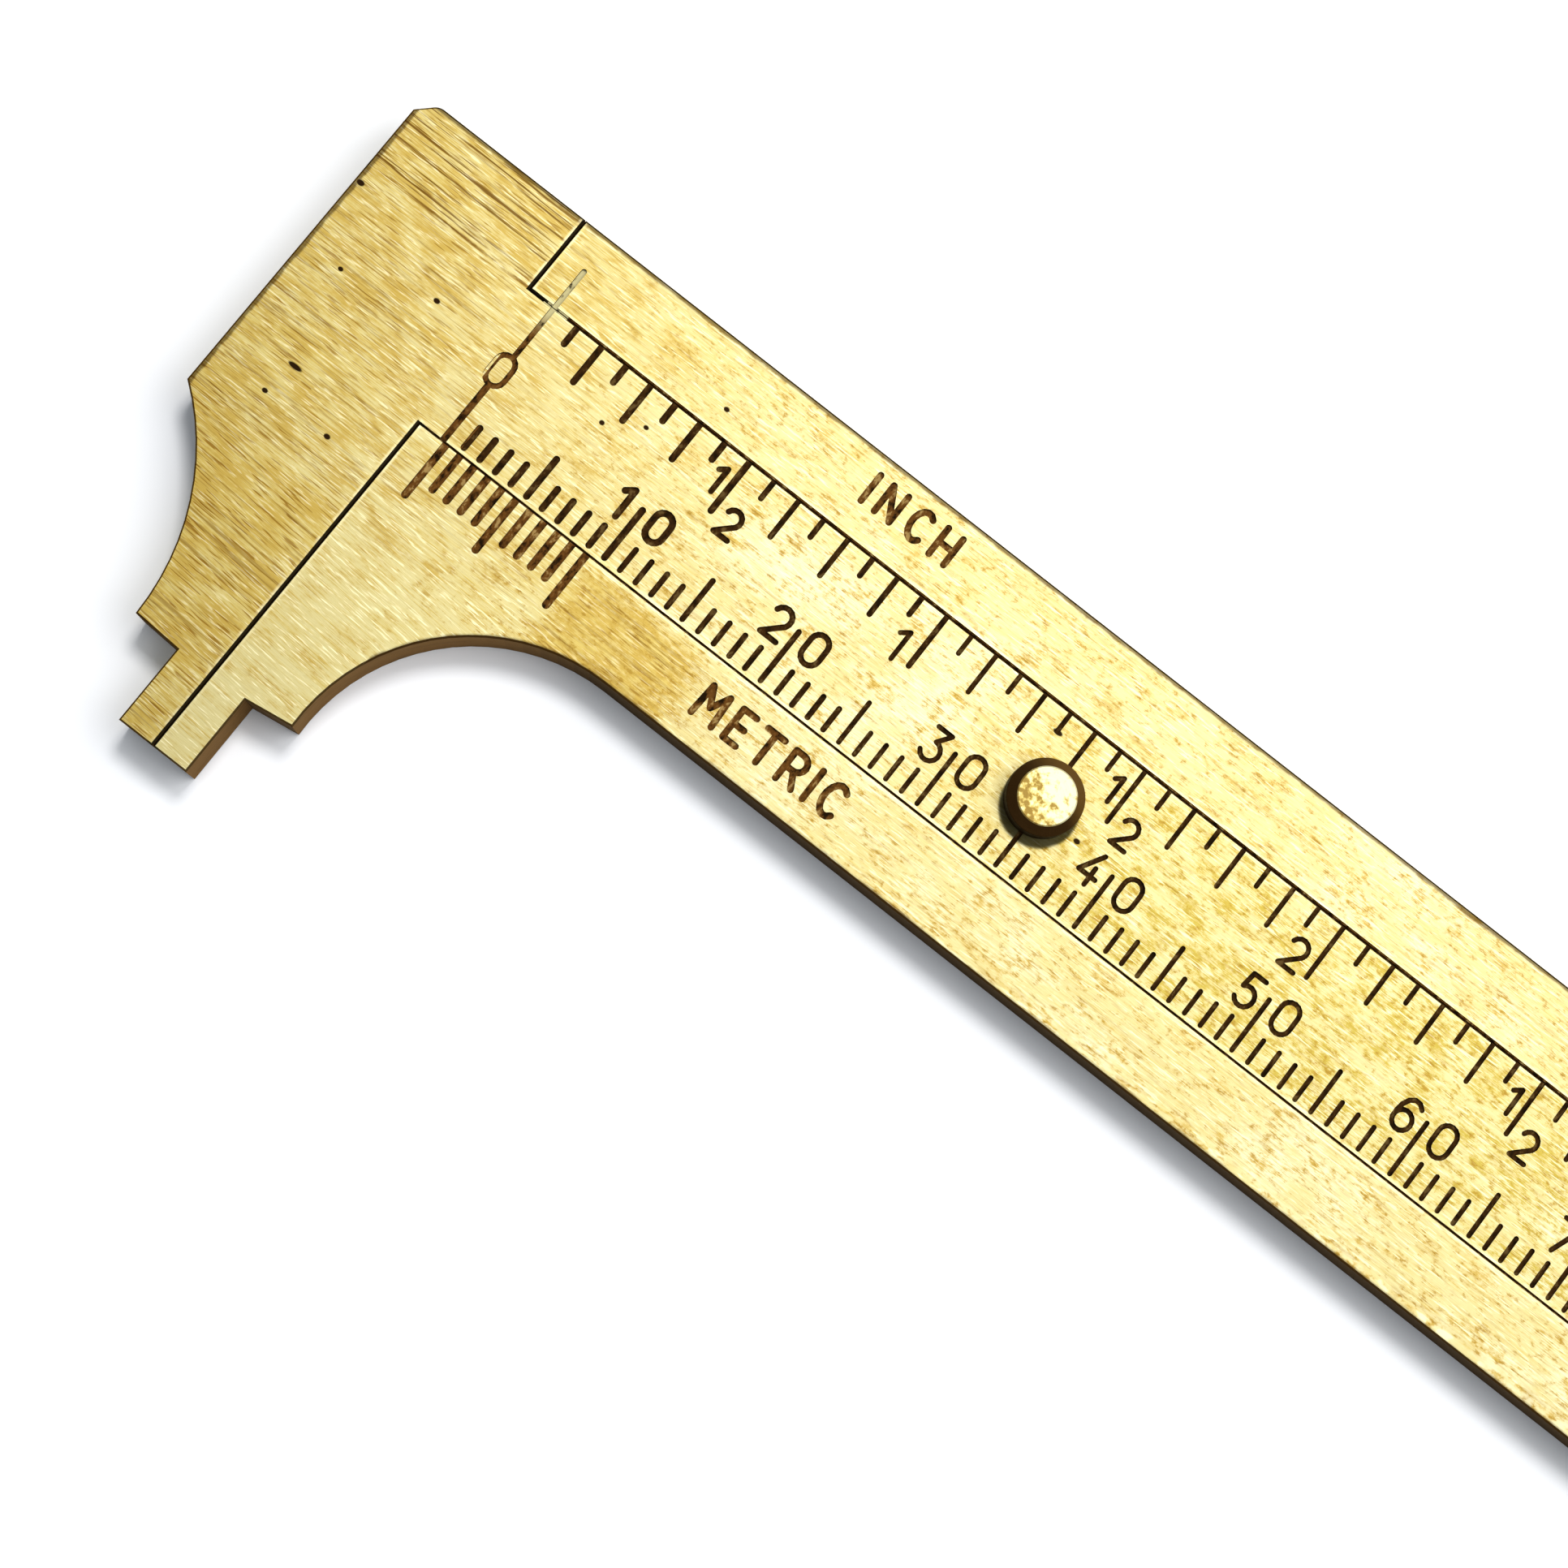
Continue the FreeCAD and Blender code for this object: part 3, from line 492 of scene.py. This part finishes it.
def knobFinish():
    fin = Finish("knobBrass")
    x, y, z = fin.place()
    up = fin.facing()[2]
    centreX = (knobLow.x + knobHigh.x) / 2 / mm
    dx = x - centreX
    radius = fin.maths("SQRT", dx * dx + y * y)
    turned = knob["turningScale"]
    turning = fin.noise(fin.vector(radius * turned, z * turned, 0), detail=3)
    scale = knob["mottleScale"]
    spot = fin.vector(x * scale + knob["mottleShift"], y * scale, z)
    mottle = fin.noise(spot, detail=4, roughness=0.65)
    lowerLeft = fin.step(dx * -0.6 - y * 0.8, *knob["stainedSide"])
    golden = fin.step(mottle + lowerLeft * 0.22, *knob["goldenParts"])
    colour = fin.mix(golden, knob["top"], brass["gold"])
    spots = fin.step(mottle + lowerLeft * 0.16, *knob["stainedParts"])
    colour = fin.mix(spots * 0.75, colour, knob["stain"])
    bevel = 1 - fin.step(up, *knob["topTilt"])
    # painted highlight: the bevel ring lighter towards the upper right, darker towards the lower
    # left
    lit = fin.step(dx * 0.35 + y + mottle * 0.6, *knob["litSide"])
    colour = fin.mix(bevel, colour, fin.mix(lit, knob["rim"], knob["rimLit"]))
    side = 1 - fin.step(up, *knob["bevelTilt"])
    colour = fin.mix(side, colour, knob["side"])
    rough = knob["roughness"] + turning * 0.12 + spots * 0.1
    return fin.finish(colour, rough, turning, strength=0.25, Metallic=1.0)


def knobPiece():
    mesh = bmesh.new()
    centre = (knobLow + knobHigh) / 2
    radius = (knobHigh.x - knobLow.x) / 2
    foot, top = knobLow.z, knobHigh.z
    bevel, lip, shank, rivet, rivetHeight = [
        knob[size] * mm for size in ("bevel", "lip", "shank", "rivet", "rivetHeight")]
    below, inward, above, beyond = [step * mm for step in knob["softenings"]]
    profile = [(0, foot), (rivet, foot), (shank, foot + rivetHeight), (shank, bodyHigh.z),
               (radius - lip, bodyHigh.z), (radius, bodyHigh.z + lip),
               (radius, top - bevel - below), (radius - inward, top - bevel + above),
               (radius - bevel + inward, top - inward), (radius - bevel - beyond, top), (0, top)]
    chain = [mesh.verts.new((centre.x + across, centre.y, height)) for across, height in profile]
    edges = [mesh.edges.new(pair) for pair in zip(chain, chain[1:])]
    bmesh.ops.spin(mesh, geom=chain + edges, cent=(centre.x, centre.y, 0), axis=(0, 0, 1),
                   angle=2 * math.pi, steps=knob["segments"], use_merge=True)
    bmesh.ops.remove_doubles(mesh, verts=mesh.verts, dist=1e-7)
    bmesh.ops.recalc_face_normals(mesh, faces=mesh.faces)
    data = bpy.data.meshes.new("knob")
    mesh.to_mesh(data)
    mesh.free()
    piece = bpy.data.objects.new("turned_knob", data)
    scene.collection.objects.link(piece)
    data.materials.append(knobFinish())
    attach(piece, "slide")
    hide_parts("thumb_knob")
    return piece


knobPiece()
print("knob turned")


steel = {
    "bright": (0.56, 0.56, 0.57, 1),
    "dark": (0.30, 0.30, 0.32, 1),
    "grain": (1.5, 12, 12),         # scale along x, y and z
    "darkParts": (0.35, 0.7),
    "roughness": 0.3,
}


def steelFinish(name):
    fin = Finish(name)
    x, y, z = fin.place()
    alongX, alongY, alongZ = steel["grain"]
    grain = fin.noise(fin.vector(x * alongX, y * alongY, z * alongZ), detail=3)
    colour = fin.mix(fin.step(grain, *steel["darkParts"]), steel["bright"], steel["dark"])
    rough = steel["roughness"] + grain * 0.2
    return fin.finish(colour, rough, grain, strength=0.2, Metallic=1.0)


dress("stop_pin", steelFinish("pinSteel"))
dress("friction_spring", steelFinish("springSteel"))
dress("spring_rivet", brushedBrass("rivetBrass", slideMarks, 0))


studio = {
    "floorSize": 1.6,
    "floorMiddle": 0.03,
    "floorGap": 0.00002,            # under the back, so that the two don't flicker
    "floorRoughness": 0.85,
    "floorColour": (0.90, 0.90, 0.91, 1),
    "sky": (0.88, 0.94, 1.0, 1),
    "skyStrength": 0.38,            # overhead
    "horizonStrength": 0.95,
    "skyRise": 0.55,                # sine of the height where the sky is at its plainest
    "keyToward": (-0.10, 0.45, 1.0),    # from the middle of the object to the key lamp
    "keyAway": 0.35,
    "keySize": 0.10,
    "keyPower": 0.64,
    "fillToward": (0.60, 0.42, 1.0),
    "fillAway": 0.45,
    "fillSize": 0.35,
    "fillPower": 1.35,
    "cameraPlace": (0.02679, -0.02529, 0.14558),
    "cameraAim": (0.02415, -0.00746, 0.0032),
    "cameraRoll": 37.97,
    "cameraLens": 65.8,
    "cameraNear": 0.005,
}


def layFloor():
    mesh = bmesh.new()
    bmesh.ops.create_grid(mesh, x_segments=1, y_segments=1, size=studio["floorSize"] / 2)
    bmesh.ops.translate(mesh, verts=mesh.verts,
                        vec=(studio["floorMiddle"], 0, bodyLow.z - studio["floorGap"]))
    data = bpy.data.meshes.new("floor")
    mesh.to_mesh(data)
    mesh.free()
    floor = bpy.data.objects.new("floor", data)
    scene.collection.objects.link(floor)
    fin = Finish("paleFloor")
    data.materials.append(fin.finish(studio["floorColour"], studio["floorRoughness"]))


def hangLamp(name, shape):          # a soft lamp that faces the middle of the object
    lamp = bpy.data.lights.new(name, "AREA")
    lamp.shape = shape
    lamp.size = studio[name + "Size"]
    lamp.energy = studio[name + "Power"]
    box = bpy.data.objects.new(name, lamp)
    toward = Vector(studio[name + "Toward"]).normalized()
    box.location = Vector(studio["cameraAim"]) + toward * studio[name + "Away"]
    box.rotation_euler = (-toward).to_track_quat("-Z", "Y").to_euler()
    scene.collection.objects.link(box)


def lightSky():
    world = bpy.data.worlds.new("paleSky")
    world.use_nodes = True
    tree = world.node_tree
    background = tree.nodes["Background"]
    direction = tree.nodes.new("ShaderNodeTexCoord")
    split = tree.nodes.new("ShaderNodeSeparateXYZ")
    rise = tree.nodes.new("ShaderNodeMapRange")
    background.inputs["Color"].default_value = studio["sky"]
    rise.inputs["From Max"].default_value = studio["skyRise"]
    rise.inputs["To Min"].default_value = studio["horizonStrength"]
    rise.inputs["To Max"].default_value = studio["skyStrength"]
    tree.links.new(direction.outputs["Generated"], split.inputs[0])
    tree.links.new(split.outputs[2], rise.inputs["Value"])
    tree.links.new(rise.outputs[0], background.inputs["Strength"])
    scene.world = world


def setCamera():
    lens = bpy.data.cameras.new("camera")
    lens.lens = studio["cameraLens"]
    lens.clip_start = studio["cameraNear"]
    camera = bpy.data.objects.new("camera", lens)
    place = Vector(studio["cameraPlace"])
    forward = (Vector(studio["cameraAim"]) - place).normalized()
    roll = math.radians(studio["cameraRoll"])
    right = forward.cross(Vector((-math.sin(roll), math.cos(roll), 0))).normalized()
    upward = right.cross(forward)
    turn = Matrix((right, upward, -forward)).transposed().to_4x4()
    camera.matrix_world = Matrix.Translation(place) @ turn
    scene.collection.objects.link(camera)
    scene.camera = camera


layFloor()
hangLamp("key", "DISK")
hangLamp("fill", "SQUARE")
lightSky()
setCamera()
scene.view_settings.view_transform = "Standard"
print("studio set")
